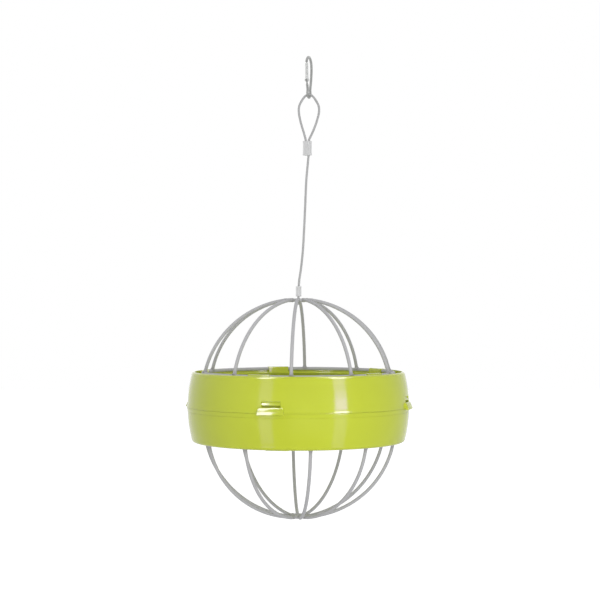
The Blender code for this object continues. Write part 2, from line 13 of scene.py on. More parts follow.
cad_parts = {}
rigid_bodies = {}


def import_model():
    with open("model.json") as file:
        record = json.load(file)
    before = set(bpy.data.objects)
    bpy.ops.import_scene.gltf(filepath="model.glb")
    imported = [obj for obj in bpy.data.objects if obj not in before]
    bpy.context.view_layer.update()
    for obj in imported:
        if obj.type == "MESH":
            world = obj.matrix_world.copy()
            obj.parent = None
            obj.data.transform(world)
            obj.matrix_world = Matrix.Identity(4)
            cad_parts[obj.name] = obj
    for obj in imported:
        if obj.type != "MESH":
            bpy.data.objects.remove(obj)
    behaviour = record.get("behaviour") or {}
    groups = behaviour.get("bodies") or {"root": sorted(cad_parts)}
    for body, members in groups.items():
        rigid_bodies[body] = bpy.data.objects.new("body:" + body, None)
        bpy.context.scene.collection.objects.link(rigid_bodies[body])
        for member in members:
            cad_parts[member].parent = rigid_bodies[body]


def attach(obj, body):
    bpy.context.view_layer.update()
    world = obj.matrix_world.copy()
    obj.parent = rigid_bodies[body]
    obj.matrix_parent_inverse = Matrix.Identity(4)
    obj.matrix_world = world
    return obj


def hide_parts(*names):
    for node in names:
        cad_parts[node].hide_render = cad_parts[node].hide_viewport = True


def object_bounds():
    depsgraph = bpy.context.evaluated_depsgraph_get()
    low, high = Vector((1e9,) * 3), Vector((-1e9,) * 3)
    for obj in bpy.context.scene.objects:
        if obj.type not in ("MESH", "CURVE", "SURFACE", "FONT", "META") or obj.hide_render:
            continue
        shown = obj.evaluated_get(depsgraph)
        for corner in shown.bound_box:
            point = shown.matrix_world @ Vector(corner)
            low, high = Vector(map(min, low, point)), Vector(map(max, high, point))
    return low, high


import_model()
CAD_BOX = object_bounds()

# Camera: level, in front of the feeder
CAMERA_PLACE = (-0.00684, -1.198, -0.1856)
CAMERA_LENS = 93.5

# Edges that bend by more than this, in degrees, aren't smoothed over
SHARP_ANGLE = 35.0

# Ball
BALL_CENTRE = Vector((-0.0081, 0.0, -0.2687))
WIRE_RADIUS = 0.0013
CAGE_RADIUS = 0.0746
CAGE_STRAIGHT = 0.0130
CAGE_CAP_HEIGHT = 0.0707
POLE_HEIGHT = 0.0830
POLE_FLAT_RADIUS = 0.0115
POLE_RING_RADIUS = 0.0063
POLE_BAR_RADIUS = 0.0011
UPPER_WIRE_AZIMUTHS = tuple(36.0 * step - 4.0 for step in (0, 1, 2, 3, 4, 5, 7, 8, 9))
LOWER_WIRE_AZIMUTHS = (7.0, 42.5, 78.5, 114.5, 150.5, 183.5, 218.5, 258.5, 294.5, 328.3)

# Waist band. Its heights are measured from the seam, which is just above the ball's middle.
SEAM_HEIGHT = 0.0015
BAND_CENTRE = BALL_CENTRE + Vector((0.0, 0.0, SEAM_HEIGHT))
BAND_RADIUS = 0.0850
BAND_SHOULDER_RADIUS = 0.0820
BAND_HEIGHT = 0.0267
BAND_RIM_ROUND = 0.0024
BAND_WALL = 0.0026
SEAM_GAP = 0.00003

# The edges beside the seam, as millimetres (outwards, away from the seam): the upper half's
# flares out to a lip, and the lower half's is rounded off below it.
UPPER_EDGE = (
    (0.56, 0.0),
    (0.63, 0.04),
    (0.65, 0.15),
    (0.58, 0.45),
    (0.39, 1.05),
    (0.2, 1.65),
    (0.06, 2.25),
    (0.0, 2.9),
)
LOWER_EDGE = (
    (0.36, 0.0),
    (0.42, 0.04),
    (0.47, 0.3),
    (0.46, 0.7),
    (0.34, 1.3),
    (0.14, 2.2),
    (0.0, 3.2),
)

LEDGE_INNER_RADIUS = 0.0712
LEDGE_THICKNESS = 0.0017
HOOP_HEIGHT = 0.0258
HOOP_ABOVE_LEDGE = 0.0024
CLIP_COUNT = 5
UPPER_CLIP_START = -22.8
LOWER_CLIP_START = -11.8
CLIP_WIDTH = 13.0
CLIP_INNER_OFFSET = 0.0024
CLIP_OUTER_OFFSET = 0.0026
CLIP_RISE = 0.0017
BAND_STEP = 2.0

# Snap tabs and the bridges that they hook over, as (radius, height above the seam) sections
TAB_COUNT = 4
TAB_START = -13.5
TAB_HALF_WIDTH = 0.0072
TAB_SIDE_SLOPE = 0.05
BRIDGE_HALF_WIDTH = 0.0100
BRIDGE_SIDE_SLOPE = 0.24
WINDOW_HALF_ANGLE = 4.78
WINDOW_TOP = 0.0088
TAB_OUTLINE = (
    (0.0799, -0.0125),
    (0.0810, -0.0125),
    (0.0819, 0.0004),
    (0.0822, 0.0056),
    (0.0844, 0.0058),
    (0.0850, 0.0061),
    (0.0834, 0.0086),
    (0.0803, 0.0087),
)
BRIDGE_OUTLINE = (
    (0.0846, 0.0004),
    (0.0855, 0.0004),
    (0.0858, -0.0008),
    (0.0880, -0.0008),
    (0.0865, 0.0034),
    (0.0852, 0.0046),
    (0.0846, 0.0046),
)

# Snap hook, bent in a plane that is turned about Z
HOOK_TURN = 68.0
HOOK_WIRE_RADIUS = 0.0010
HOOK_FLAT_LENGTH = 0.0032
HOOK_FLAT_HALF_WIDTH = 0.00125
HOOK_FLAT_BLEND = 0.0014
GATE_RADIUS = 0.00125
GATE_TOP = (-0.0047, -0.0040)
GATE_PIVOT = (-0.0040, -0.0170)
GATE_SLOT = 0.0013
TONGUE_THICKNESS = 0.0009
RIVET_PIN_RADIUS = 0.00045
RIVET_HEAD_RADIUS = 0.0010
RIVET_REACH = 0.00137
RIVET_DOME = 0.00038
HOOK_ROUTE = (
    (-0.0040, -0.0160),
    (-0.0040, -0.0178),
    (-0.0037, -0.0200),
    (-0.0031, -0.0219),
    (-0.0027, -0.0235),
    (-0.0028, -0.0250),
    (-0.0030, -0.0268),
    (-0.0021, -0.0290),
    (0.0, -0.0300),
    (0.0021, -0.0290),
    (0.0030, -0.0268),
    (0.0027, -0.0250),
    (0.0027, -0.0235),
    (0.0032, -0.0215),
    (0.0041, -0.0178),
    (0.0049, -0.0130),
    (0.0053, -0.0085),
    (0.0051, -0.0045),
    (0.0036, -0.0011),
    (0.0012, 0.0008),
    (-0.0012, 0.0009),
    (-0.0034, -0.0004),
    (-0.0045, -0.0020),
    (-0.0047, -0.0036),
)

# Wire rope: six strands round a core
ROPE_DIAMETER = 0.0018
ROPE_STRANDS = 6
STRAND_RADIUS = 0.172 * ROPE_DIAMETER
ROPE_LAY = 0.0125
ROPE_RING_SPACING = 0.0005
ROPE_ROUTE = (
    (-0.00225, 0.0, -0.0740),
    (-0.00225, 0.0, -0.0660),
    (-0.00240, 0.0, -0.0629),
    (-0.00385, 0.0, -0.0572),
    (-0.00570, 0.0, -0.0511),
    (-0.00720, 0.0, -0.0449),
    (-0.00780, 0.0, -0.0400),
    (-0.00735, 0.0, -0.0363),
    (-0.00570, 0.0, -0.0328),
    (-0.00310, 0.0, -0.0292),
    (0.0, 0.0, -0.0275),
    (0.00310, 0.0, -0.0292),
    (0.00570, 0.0, -0.0328),
    (0.00740, 0.0, -0.0362),
    (0.00785, 0.0, -0.0399),
    (0.00720, 0.0, -0.0441),
    (0.00510, 0.0, -0.0511),
    (0.00260, 0.0, -0.0572),
    (0.00010, 0.0, -0.0626),
    (-0.00015, 0.0, -0.0665),
    (-0.00018, 0.0, -0.0715),
    (-0.00040, 0.0, -0.0760),
    (-0.00200, 0.0, -0.0940),
    (-0.00285, 0.0, -0.1136),
    (-0.00360, 0.0, -0.1293),
    (-0.00460, 0.0, -0.1473),
    (-0.00600, 0.0, -0.1607),
    (-0.00735, -0.00035, -0.1700),
    (-0.00785, -0.00105, -0.1765),
    (-0.00790, -0.00108, -0.1805),
    (-0.00800, -0.00190, -0.1832),
    (-0.00810, -0.00270, -0.1852),
    (-0.00810, -0.00215, -0.1873),
    (-0.00810, 0.0, -0.1884),
    (-0.00810, 0.00215, -0.1873),
    (-0.00810, 0.00270, -0.1852),
    (-0.00800, 0.00190, -0.1832),
    (-0.00790, 0.00108, -0.1805),
    (-0.00785, 0.00105, -0.1775),
)

# Ferrules: width, thickness, height and the bore's half width
UPPER_FERRULE = (0.0071, 0.0044, 0.0111, 0.00225)
UPPER_FERRULE_CENTRE = Vector((-0.0012, 0.0, -0.06895))
LOWER_FERRULE = (0.0071, 0.0047, 0.0078, 0.00285)
LOWER_FERRULE_CENTRE = Vector((-0.0079, 0.0, -0.1789))
FERRULE_SIDES = 96
FERRULE_LIP = 0.00035
FERRULE_BORE_DEPTH = 0.0012
FERRULE_VALLEY = 0.34

# Studio. The world's even light on matt surfaces, and what glossy ones mirror: the change
# in brightness towards (X, Y, Z), and its mean.
WORLD_EVEN = 0.56
WORLD_SLOPE = (-0.12, 0.40, 0.08)
WORLD_LEVEL = 0.66

# Soft lights: azimuth, elevation, width and height, one metre from the ball, and radiance
FRONT_FILL = (12.0, 2.0, 0.9, 0.9, 2.5)
COLUMN_STRIPS = (
    (-32.7, -3.0, 0.24, 0.95, 1.9),
    (42.3, -17.0, 0.22, 0.42, 1.8),
    (42.3, 2.5, 0.22, 0.19, 11.0),
    (42.3, 10.8, 0.22, 0.10, 7.5),
    (42.3, 16.2, 0.22, 0.09, 5.0),
    (42.3, 21.2, 0.22, 0.09, 3.5),
)
COLUMN_TINT = (0.46, 0.22, 1.0)
LIP_STRIPS = (
    (-36.5, 36.0, 0.23, 0.30, 18.0),
    (-49.5, 61.0, 0.18, 0.50, 18.0),
    (45.5, 33.4, 0.23, 0.41, 18.0),
    (63.0, 61.0, 0.34, 0.45, 16.0),
)
LIP_TINT = (0.8, 0.7, 1.0)


# ---------------------------------------------------------------- camera


def make_camera():
    data = bpy.data.cameras.new("camera")
    data.lens = CAMERA_LENS
    data.sensor_width = 36.0
    data.clip_start = 0.01
    camera = bpy.data.objects.new("camera", data)
    bpy.context.collection.objects.link(camera)
    camera.location = CAMERA_PLACE
    camera.rotation_euler = (radians(90), 0.0, 0.0)
    bpy.context.scene.camera = camera


# ---------------------------------------------------------------- materials


class Nodes:
    """Short ways to add nodes to one material."""

    def __init__(self, name):
        self.material = bpy.data.materials.new(name)
        self.material.use_nodes = True
        self.tree = self.material.node_tree
        self.shader = self.tree.nodes["Principled BSDF"]

    def set(self, **values):
        for name, value in values.items():
            self.shader.inputs[name.replace("_", " ")].default_value = value

    def node(self, kind, **settings):
        node = self.tree.nodes.new(kind)
        for name, value in settings.items():
            setattr(node, name, value)
        return node

    def link(self, source, target):
        self.tree.links.new(source, target)

    def place(self, stretch=(1.0, 1.0, 1.0), turn=0.0, kind="Object"):
        """Texture coordinates, stretched: in metres, or a UV map's."""
        coordinates = self.node("ShaderNodeTexCoord")
        mapping = self.node("ShaderNodeMapping")
        mapping.inputs["Scale"].default_value = stretch
        mapping.inputs["Rotation"].default_value = (0.0, 0.0, turn)
        self.link(coordinates.outputs[kind], mapping.inputs["Vector"])
        return mapping.outputs["Vector"]

    def noise(self, vector, scale, detail=3.0, roughness=0.5):
        noise = self.node("ShaderNodeTexNoise")
        noise.inputs["Scale"].default_value = scale
        noise.inputs["Detail"].default_value = detail
        noise.inputs["Roughness"].default_value = roughness
        self.link(vector, noise.inputs["Vector"])
        return noise.outputs["Fac"]

    def spread(self, value, low, high, from_low=0.3, from_high=0.7):
        """Map a texture's value to a range."""
        node = self.node("ShaderNodeMapRange")
        node.inputs["From Min"].default_value = from_low
        node.inputs["From Max"].default_value = from_high
        node.inputs["To Min"].default_value = low
        node.inputs["To Max"].default_value = high
        self.link(value, node.inputs["Value"])
        return node.outputs["Result"]

    def ramp(self, value, *stops):
        node = self.node("ShaderNodeValToRGB")
        elements = node.color_ramp.elements
        while len(elements) < len(stops):
            elements.new(0.5)
        for element, (position, colour) in zip(elements, stops):
            element.position = position
            element.color = (*colour, 1.0)
        self.link(value, node.inputs["Fac"])
        return node.outputs["Color"]

    def mix(self, factor, first, second):
        """From one colour to another; each is a colour or a node's output."""
        node = self.node("ShaderNodeMix", data_type="RGBA")
        self.link(factor, node.inputs[0])
        for socket, value in ((node.inputs[6], first), (node.inputs[7], second)):
            if isinstance(value, tuple):
                socket.default_value = (*value, 1.0)
            else:
                self.link(value, socket)
        return node.outputs[2]

    def bump(self, height, distance, strength=1.0, after=None):
        node = self.node("ShaderNodeBump")
        node.inputs["Strength"].default_value = strength
        node.inputs["Distance"].default_value = distance
        self.link(height, node.inputs["Height"])
        if after:
            self.link(after, node.inputs["Normal"])
        return node.outputs["Normal"]

    def attribute(self, name):
        return self.node("ShaderNodeAttribute", attribute_name=name).outputs["Fac"]

    def to(self, output, socket):
        self.link(output, self.shader.inputs[socket])


def lime_plastic():
    """Glossy moulded plastic, slightly uneven in tone, with faint flow marks and scuffs."""
    n = Nodes("lime_plastic")
    n.set(IOR=1.5)
    cloud = n.noise(n.place(), 26.0, 2.0)
    tone = n.ramp(cloud, (0.3, (0.515, 0.585, 0.035)), (0.7, (0.545, 0.620, 0.045)))
    speck = n.spread(n.noise(n.place(), 900.0, 2.0), 0.0, 1.0, 0.68, 0.80)
    n.to(n.mix(speck, tone, (0.48, 0.54, 0.05)), "Base Color")
    scuff = n.noise(n.place((1.0, 1.0, 14.0)), 60.0, 5.0, 0.7)
    n.to(n.spread(scuff, 0.09, 0.15, 0.35, 0.75), "Roughness")
    peel = n.bump(n.noise(n.place(), 420.0, 1.0), 0.00001, 0.4)
    waves = n.bump(n.noise(n.place((1.0, 1.0, 0.35)), 38.0, 1.0), 0.00012, 0.3, after=peel)
    n.to(waves, "Normal")
    return n.material


def drawn_wire():
    """Galvanised wire: satin, with streaks along its length and heat marks at the welds."""
    n = Nodes("drawn_wire")
    n.set(Metallic=0.25)
    along = n.place((9.0, 120.0, 1.0), kind="UV")
    streak = n.noise(along, 1.0, 4.0, 0.6)
    spangle = n.noise(n.place(), 700.0, 2.0)
    tone = n.ramp(streak, (0.25, (0.50, 0.50, 0.515)), (0.75, (0.61, 0.61, 0.625)))
    tone = n.mix(n.spread(spangle, 0.0, 0.5), tone, (0.55, 0.55, 0.565))
    n.to(n.mix(n.attribute("weld"), tone, (0.30, 0.29, 0.28)), "Base Color")
    n.to(n.spread(streak, 0.50, 0.64), "Roughness")
    n.to(n.bump(streak, 0.00004, 0.5), "Normal")
    return n.material


def rope_wire():
    """Steel strands: fine wires laid across each strand, with painted shade that darkens the
    hollows between the wires.
    """
    n = Nodes("rope_wire")
    n.set(Metallic=0.3, Roughness=0.45)
    wave = n.node("ShaderNodeTexWave", wave_type="BANDS", bands_direction="X")
    wave.inputs["Scale"].default_value = 1.0
    wave.inputs["Distortion"].default_value = 0.6
    n.link(n.place((1.1, 620.0, 1.0), radians(38), "UV"), wave.inputs["Vector"])
    fine = wave.outputs["Fac"]
    # Painted shade: the tone runs dark in the hollows between the fine wires and light on their
    # crowns, following the bump.
    tone = n.ramp(fine, (0.1, (0.42, 0.42, 0.425)), (0.8, (0.74, 0.745, 0.75)))
    grime = n.spread(n.noise(n.place(), 240.0, 3.0), 0.0, 0.35)
    n.to(n.mix(grime, tone, (0.46, 0.46, 0.455)), "Base Color")
    n.to(n.bump(fine, 0.00008, 0.8), "Normal")
    return n.material


def pressed_aluminium():
    """Ferrules: bright aluminium with the press tool's fine vertical scratches."""
    n = Nodes("pressed_aluminium")
    n.set(Metallic=0.45)
    scratch = n.noise(n.place((1.0, 1.0, 0.08)), 2600.0, 4.0, 0.65)
    dent = n.noise(n.place(), 420.0, 2.0)
    n.to(n.ramp(scratch, (0.3, (0.76, 0.765, 0.77)), (0.7, (0.92, 0.92, 0.925))), "Base Color")
    n.to(n.spread(scratch, 0.26, 0.46), "Roughness")
    n.to(n.bump(dent, 0.00010, 0.5, after=n.bump(scratch, 0.00003, 0.6)), "Normal")
    return n.material


def zinc_plate(name, dark, light):
    """The snap hook's zinc plate, a little clouded, between two greys."""
    n = Nodes(name)
    n.set(Metallic=0.5)
    cloud = n.noise(n.place(), 330.0, 4.0, 0.6)
    stops = [(at, (grey, grey + 0.01, grey)) for at, grey in ((0.3, dark), (0.7, light))]
    n.to(n.ramp(cloud, *stops), "Base Color")
    n.to(n.spread(cloud, 0.16, 0.34), "Roughness")
    n.to(n.bump(n.noise(n.place(), 1500.0, 2.0), 0.00003, 0.5), "Normal")
    return n.material


# ---------------------------------------------------------------- mesh tools


def new_object(name, data, material):
    piece = bpy.data.objects.new(name, data)
    bpy.context.collection.objects.link(piece)
    data.materials.append(material)
    return piece


def finished(bm, name, sharp=SHARP_ANGLE):
    """Turn a bmesh into a smooth mesh that keeps edges sharper than an angle in degrees."""
    bmesh.ops.recalc_face_normals(bm, faces=bm.faces)
    mesh = bpy.data.meshes.new(name)
    bm.to_mesh(mesh)
    bm.free()
    mesh.shade_smooth()
    mesh.set_sharp_from_angle(angle=radians(sharp))
    return mesh


def round_edges(piece, width):
    """Round a piece's sharp edges with real geometry."""
    modifier = piece.modifiers.new("rounded_edges", "BEVEL")
    modifier.width = width
    modifier.segments = 2
    modifier.limit_method = "ANGLE"
    modifier.angle_limit = radians(SHARP_ANGLE)
    modifier.use_clamp_overlap = False
    modifier.harden_normals = True
    apply_modifiers(piece)


def apply_modifiers(piece):
    graph = bpy.context.evaluated_depsgraph_get()
    mesh = bpy.data.meshes.new_from_object(piece.evaluated_get(graph), depsgraph=graph)
    piece.modifiers.clear()
    old = piece.data
    piece.data = mesh
    bpy.data.meshes.remove(old)
    mesh.name = piece.name


def cut(piece, cutter):
    """Cut one solid with another, and drop the cutter."""
    modifier = piece.modifiers.new("cut", "BOOLEAN")
    modifier.operation = "DIFFERENCE"
    modifier.solver = "EXACT"
    modifier.use_self = True
    modifier.object = cutter
    apply_modifiers(piece)
    bpy.data.objects.remove(cutter, do_unlink=True)


def smooth_curve(points, steps=24):
    """A Catmull-Rom curve through the points."""
    points = [Vector(p) for p in points]
    padded = [2 * points[0] - points[1]] + points + [2 * points[-1] - points[-2]]
    curve = []
    for i in range(1, len(padded) - 2):
        a, b, c, d = padded[i - 1 : i + 3]
        for step in range(steps):
            t = step / steps
            curve.append(
                0.5
                * (
                    2 * b
                    + (c - a) * t
                    + (2 * a - 5 * b + 4 * c - d) * t**2
                    + (3 * b - a - 3 * c + d) * t**3
                )
            )
    curve.append(points[-1])
    return curve


def lengths_along(path):
    """Each point's distance from the path's start."""
    total = 0.0
    distances = [0.0]
    for first, second in zip(path, path[1:]):
        total += (second - first).length
        distances.append(total)
    return distances


def evenly(path, spacing):
    """The same path with its points evenly spaced."""
    distances = lengths_along(path)
    count = max(2, round(distances[-1] / spacing))
    even = []
    i = 0
    for step in range(count + 1):
        target = distances[-1] * step / count
        while i < len(path) - 2 and distances[i + 1] < target:
            i += 1
        part = (target - distances[i]) / (distances[i + 1] - distances[i])
        even.append(path[i].lerp(path[i + 1], part))
    return even


def moving_frames(path):
    """At each point: two directions across the path, carried along it without twist."""
    frames = []
    across = None
    last = None
    for i in range(len(path)):
        ahead = path[min(i + 1, len(path) - 1)] - path[max(i - 1, 0)]
        tangent = ahead.normalized()
        if across is None:
            across = tangent.orthogonal()
        else:
            across = last.rotation_difference(tangent) @ across
        across = (across - tangent * across.dot(tangent)).normalized()
        frames.append((across, tangent.cross(across)))
        last = tangent
    return frames


def skin(bm, rings, closed=False, uv_lengths=None):
    """Join rings of vertices with quads, with a UV map: round the ring, and metres along.

    The ends are capped, unless the last ring joins the first.
    """
    layer = bm.loops.layers.uv.verify()
    count = len(rings[0])
    pairs = list(zip(range(len(rings)), range(1, len(rings))))
    if closed:
        pairs.append((len(rings) - 1, 0))
    for i, j in pairs:
        for k in range(count):
            m = (k + 1) % count
            face = bm.faces.new((rings[i][k], rings[i][m], rings[j][m], rings[j][k]))
            if uv_lengths:
                start, end = uv_lengths[i], uv_lengths[i + 1]
                corners = ((k, start), (k + 1, start), (k + 1, end), (k, end))
                for loop, (turn, along) in zip(face.loops, corners):
                    loop[layer].uv = (turn / count, along)
    if not closed:
        bm.faces.new(rings[0])
        bm.faces.new(rings[-1])


def add_tube(bm, path, radius, sides):
    """A round bar along a path. radius gives its radius at a distance along it."""
    distances = lengths_along(path)
    rings = []
    for point, (across, side), distance in zip(path, moving_frames(path), distances):
        wide = radius(distance)
        ring = []
        for k in range(sides):
            angle = tau * k / sides
            ring.append(bm.verts.new(point + wide * cos(angle) * across + wide * sin(angle) * side))
        rings.append(ring)
    skin(bm, rings, uv_lengths=distances)


def add_revolved(bm, section, start=0.0, sweep=360.0, segments=180):
    """Turn a closed (radius, height) outline about Z, all the way round or with flat ends."""
    closed = sweep >= 360.0
    turns = segments if closed else segments + 1
    rings = []
    for step in range(turns):
        angle = radians(start + sweep * step / segments)
        rings.append([bm.verts.new((r * sin(angle), -r * cos(angle), z)) for r, z in section])
    radius = section[0][0]
    along = [radians(sweep * step / segments) * radius for step in range(segments + 1)]
    skin(bm, rings, closed=closed, uv_lengths=along)


def circle(centre_radius, height, radius, sides=16):
    turns = [tau * i / sides for i in range(sides)]
    return [(centre_radius + radius * cos(a), height + radius * sin(a)) for a in turns]


# ---------------------------------------------------------------- wire rope


def rope_path():
    return evenly(smooth_curve(ROPE_ROUTE), ROPE_RING_SPACING)


def strand_outline(turn):
    """The rope's section: round strands side by side, as (x, y) about its centre."""
    middle = ROPE_DIAMETER / 2 - STRAND_RADIUS
    outline = []
    steps = 5
    half = pi / ROPE_STRANDS
    for lobe in range(ROPE_STRANDS):
        for step in range(steps):
            off = -half + 2 * half * step / steps
            inside = max(STRAND_RADIUS**2 - (middle * sin(off)) ** 2, 0.0)
            radius = middle * cos(off) + sqrt(inside)
            angle = turn + 2 * half * lobe + off
            outline.append((radius * cos(angle), radius * sin(angle)))
    return outline


def make_rope(material):
    path = rope_path()
    distances = lengths_along(path)
    bm = bmesh.new()
    rings = []
    for point, (across, side), distance in zip(path, moving_frames(path), distances):
        outline = strand_outline(tau * distance / ROPE_LAY)
        rings.append([bm.verts.new(point + x * across + y * side) for x, y in outline])
    skin(bm, rings, uv_lengths=distances)
    rope = new_object("wire_rope", finished(bm, "wire_rope", 180.0), material)
    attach(rope, "hanger")
    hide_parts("rope")
    return rope, path, distances[-1]


# ---------------------------------------------------------------- ferrules


def pressed_outline(half_width, half_thickness, valley):
    """A flattened oval with a valley down each broad face."""
    straight = half_width - half_thickness
    outline = []
    for i in range(FERRULE_SIDES):
        angle = tau * i / FERRULE_SIDES
        x = half_thickness * cos(angle) + straight * max(-1.0, min(1.0, 1.6 * cos(angle)))
        y = half_thickness * sin(angle)
        y *= 1.0 - valley * exp(-((x / (0.16 * half_width)) ** 2))
        outline.append((x, y))
    return outline


def ferrule_mesh(name, size):
    """A sleeve pressed onto the rope: rounded lips, a waist, and a bore for both strands."""
    width, thickness, height, bore = size
    levels = []
    for step in range(5):
        angle = radians(90 * step / 4)
        z = height / 2 - FERRULE_LIP * (1 - sin(angle))
        levels.append((z, FERRULE_LIP * (1 - cos(angle))))
    upper = [(z, inset, 1.0) for z, inset in reversed(levels)]
    body = []
    for part in (0.72, 0.5, 0.25, 0.0, -0.25, -0.5, -0.72):
        press = 0.955 if abs(part) < 0.6 else 0.985
        body.append((part * height / 2, 0.0, press))
    lower = [(-z, inset, 1.0) for z, inset in levels]
    bm = bmesh.new()
    rings = []
    bore_ring = (bore, ROPE_DIAMETER / 2 + 0.00012)

    def ring_at(half_width, half_thickness, valley, z):
        outline = pressed_outline(half_width, half_thickness, valley)
        return [bm.verts.new((x, y, z)) for x, y in outline]

    bore_end = height / 2 - FERRULE_BORE_DEPTH
    mouth = height / 2 - 0.00005
    rings.append(ring_at(*bore_ring, 0.0, bore_end))
    rings.append(ring_at(*bore_ring, 0.0, mouth))
    for z, inset, press in upper + body + lower:
        half_width = width / 2 * press - inset
        half_thickness = thickness / 2 * press - inset
        rings.append(ring_at(half_width, half_thickness, FERRULE_VALLEY, z))
    rings.append(ring_at(*bore_ring, 0.0, -mouth))
    rings.append(ring_at(*bore_ring, 0.0, -bore_end))
    skin(bm, rings)
    return finished(bm, name, 40.0)


def make_ferrules(material):
    made = []
    for name, size, centre, turn in (
        ("upper", UPPER_FERRULE, UPPER_FERRULE_CENTRE, 0.0),
        ("lower", LOWER_FERRULE, LOWER_FERRULE_CENTRE, 90.0),
    ):
        mesh = ferrule_mesh(f"{name}_sleeve", size)
        mesh.transform(Matrix.Translation(centre) @ Matrix.Rotation(radians(turn), 4, "Z"))
        sleeve = new_object(f"{name}_sleeve", mesh, material)
        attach(sleeve, "hanger")
        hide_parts(f"{name}_ferrule")
        made.append(sleeve)
    return made


# ---------------------------------------------------------------- snap hook


def add_box(bm, low, high):
    size = Vector(high) - Vector(low)
    middle = (Vector(high) + Vector(low)) / 2
    matrix = Matrix.Translation(middle) @ Matrix.Diagonal((*size, 1.0))
    bmesh.ops.create_cube(bm, size=1.0, matrix=matrix)


def make_snap_hook(material, bright):
    """The bent hook, its spring gate and the gate's rivet. The gate and the rivet take a lighter
    copy of the same zinc plate, painted light for the light that falls on that side of the hook.
    """
    turn = Matrix.Rotation(radians(HOOK_TURN), 4, "Z")
    pivot = Vector((GATE_PIVOT[0], 0.0, GATE_PIVOT[1]))
    through = Matrix.Translation(pivot) @ Matrix.Rotation(pi / 2, 4, "X")

    # The wire is pressed flat near its end, where the rivet goes through.
    path = evenly(smooth_curve([(u, 0.0, z) for u, z in HOOK_ROUTE]), 0.0004)

    def roundness(distance):
        blend = min(1.0, max(0.0, (distance - HOOK_FLAT_LENGTH) / HOOK_FLAT_BLEND))
        return 0.5 - 0.5 * cos(pi * blend)

    bm = bmesh.new()
    lengths = lengths_along(path)
    through_plane = Vector((0.0, 1.0, 0.0))
    rings = []
    for point, (across, side), distance in zip(path, moving_frames(path), lengths):
        nose = lengths[-1] - distance
        tip = 0.6 + 0.4 * sqrt(max(0.0, 1 - (max(0.0, 0.0005 - nose) / 0.0005) ** 2))
        blend = roundness(distance)
        in_plane = (HOOK_FLAT_HALF_WIDTH + (HOOK_WIRE_RADIUS - HOOK_FLAT_HALF_WIDTH) * blend) * tip
        off_plane = (TONGUE_THICKNESS / 2 * (1 - blend) + HOOK_WIRE_RADIUS * blend) * tip
        outward = across.cross(side).cross(through_plane).normalized()
        ring = []
        for k in range(20):
            angle = tau * k / 20
            offset = in_plane * cos(angle) * outward + off_plane * sin(angle) * through_plane
            ring.append(bm.verts.new(point + offset))
        rings.append(ring)
    skin(bm, rings, uv_lengths=lengths)
    mesh = finished(bm, "hook_wire", 60.0)
    body = new_object("hook_wire", mesh, material)

    # The gate: a round rod with a forked foot and a domed tip.
    foot = pivot - Vector((0.0, 0.0, 0.0013))
    top = Vector((GATE_TOP[0], 0.0, GATE_TOP[1]))
    rod = evenly([foot, pivot, top], 0.0003)
    reach = lengths_along(rod)[-1]

    def gate_radius(distance):
        end = min(distance, reach - distance)
        dome = max(0.0, 0.0006 - end) / 0.0006
        return GATE_RADIUS * (0.6 + 0.4 * sqrt(max(0.0, 1 - dome**2)))

    bm = bmesh.new()
    add_tube(bm, rod, gate_radius, 24)
    # The gate uses the lighter zinc copy: painted light on that side of the hook, not a different
    # plating.
    gate = new_object("hook_gate_rod", finished(bm, "hook_gate_rod", 50.0), bright)
    bm = bmesh.new()
    add_box(bm, (-0.01, -GATE_SLOT / 2, -0.03), (0.01, GATE_SLOT / 2, pivot.z + 0.0020))
    slot_cutter = new_object("gate_slot", finished(bm, "gate_slot"), bright)
    cut(gate, slot_cutter)
    gate.data.set_sharp_from_angle(angle=radians(40))

    # The rivet: two domed heads on a pin.
    bm = bmesh.new()
    dome = []
    for step in range(1, 7):
        angle = radians(90 * step / 6)
        dome.append((RIVET_HEAD_RADIUS * cos(angle), RIVET_REACH + RIVET_DOME * sin(angle)))
    head = [(RIVET_PIN_RADIUS, RIVET_REACH), (RIVET_HEAD_RADIUS, RIVET_REACH)] + dome
    outline = [(r, -z) for r, z in reversed(head)] + head
    rings = []
    for radius, height in outline:
        radius = max(radius, 0.00002)
        ring = []
        for k in range(24):
            angle = tau * k / 24
            place = Vector((radius * cos(angle), radius * sin(angle), height))
            ring.append(bm.verts.new(through @ place))
        rings.append(ring)
    skin(bm, rings)
    rivet = new_object("gate_pin", finished(bm, "gate_pin", 40.0), bright)

    for piece, rides_on, node in (
        (body, "snap_hook", "hook_body"),
        (gate, "hook_gate", "hook_gate"),
        (rivet, "snap_hook", "gate_rivet"),
    ):
        piece.data.transform(turn)
        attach(piece, rides_on)
        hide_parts(node)


# ---------------------------------------------------------------- wire cage


def hoop_place(side):
    """The hoop's radius, and its distance from the ball's middle; side is 1 above, -1 below."""
    distance = HOOP_HEIGHT + side * SEAM_HEIGHT
    rise = (distance - CAGE_STRAIGHT) / CAGE_CAP_HEIGHT
    return CAGE_RADIUS * sqrt(1 - rise**2), distance


def half_wire_path(side):
    """From the hoop's top up to the pole ring, with a small kink where the wire turns flat."""
    first = asin((hoop_place(side)[1] + 0.0008 - CAGE_STRAIGHT) / CAGE_CAP_HEIGHT)
    last = acos(POLE_FLAT_RADIUS / CAGE_RADIUS)
    route = []
    steps = 40
    for step in range(steps + 1):
        angle = first + (last - first) * step / steps
        height = CAGE_STRAIGHT + CAGE_CAP_HEIGHT * sin(angle)
        route.append(Vector((0.0, -CAGE_RADIUS * cos(angle), side * height)))
    end = POLE_RING_RADIUS + 0.0004
    kink = POLE_FLAT_RADIUS - 0.0012
    for radius, rise in ((kink, 0.00012), ((kink + end) / 2, 0.00004), (end, 0.0)):
        route.append(Vector((0.0, -radius, side * (POLE_HEIGHT + rise))))
    return evenly(smooth_curve(route, 4), 0.0010)


